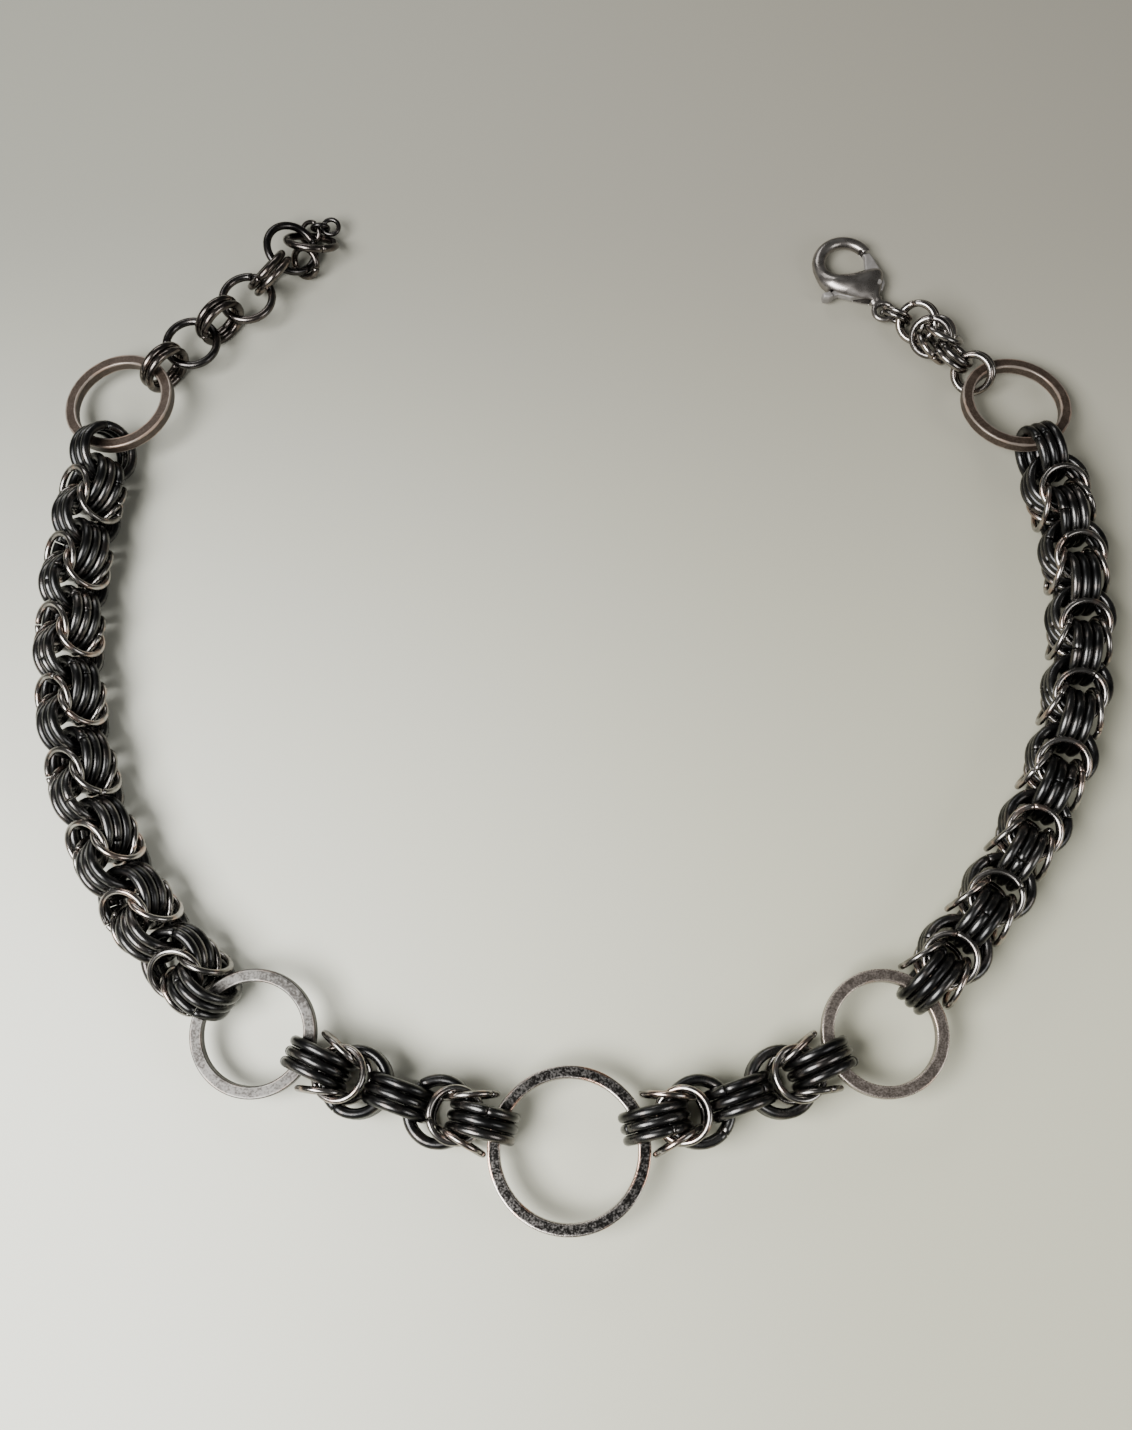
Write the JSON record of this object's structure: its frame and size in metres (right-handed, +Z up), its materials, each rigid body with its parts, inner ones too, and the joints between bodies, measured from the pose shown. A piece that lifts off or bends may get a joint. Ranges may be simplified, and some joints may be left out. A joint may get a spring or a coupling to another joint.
{
  "type": "chainmail necklace",
  "caption": "Chainmail necklace laid open in a C: heavy dark links with knots of thin bright links, flat rings between them, a lobster clasp and an extension chain.",
  "frame": {"origin": "centre of the necklace's bounding box, on the surface that it lies on", "axes": "+Z up, away from the surface; +Y from the centre ring towards the open ends; +X to the side that carries the clasp"},
  "size_m": [0.187, 0.1852, 0.0122],
  "materials": {
    "black_links": "black, semi-gloss",
    "bright_links": "bright gunmetal",
    "centre_ring": "dark speckled, worn bright edges",
    "silver_ring": "satin silver, mottled",
    "gunmetal_ring": "warm gunmetal, grainy",
    "bronze_rings": "dark matte bronze, worn edges",
    "extension_links": "dark bronze gunmetal, semi-gloss",
    "clasp_links": "bright gunmetal",
    "clasp_metal": "satin polished gunmetal"
  },
  "bodies": {
    "necklace": {"centre_ring": "centre_ring", "left_front_ring": "silver_ring", "right_front_ring": "gunmetal_ring", "left_back_ring": "bronze_rings", "right_back_ring": "bronze_rings", "left_dark_links": "black_links", "left_knot_links": "bright_links", "right_dark_links": "black_links", "right_knot_links": "bright_links", "left_front_dark_links": "black_links", "left_front_knot_links": "bright_links", "right_front_dark_links": "black_links", "right_front_knot_links": "bright_links", "clasp_link_1": "clasp_links", "clasp_link_2": "clasp_links", "clasp_link_3": "clasp_links", "clasp_link_4": "clasp_links", "clasp_link_5": "clasp_links", "clasp_link_6": "clasp_links", "clasp_link_7": "clasp_links", "clasp_link_8": "clasp_links", "clasp_link_9": "clasp_links", "clasp_link_10": "clasp_links", "clasp_link_11": "clasp_links", "clasp_link_12": "clasp_links", "extension_link_1": "extension_links", "extension_link_2": "extension_links", "extension_link_3": "extension_links", "extension_link_4": "extension_links", "extension_link_5": "extension_links", "extension_link_6": "extension_links", "extension_link_7": "extension_links", "extension_link_8": "extension_links", "extension_link_9": "extension_links", "extension_link_10": "extension_links", "extension_link_11": "extension_links", "extension_link_12": "extension_links", "extension_link_13": "extension_links", "extension_link_14": "extension_links", "clasp_body": "clasp_metal", "clasp_pin": "clasp_metal"},
    "lever": {"clasp_lever": "clasp_metal"}
  },
  "joints": [
    {"name": "lever_hinge", "type": "hinge", "parent": "necklace", "child": "lever", "pos_m": [0.05786, 0.07788, 0.0021], "axis": [0, 0, 1], "range_deg": [0, 20], "stiffness_Nm_per_rad": 0.04, "springref_deg": -14.32}
  ]
}
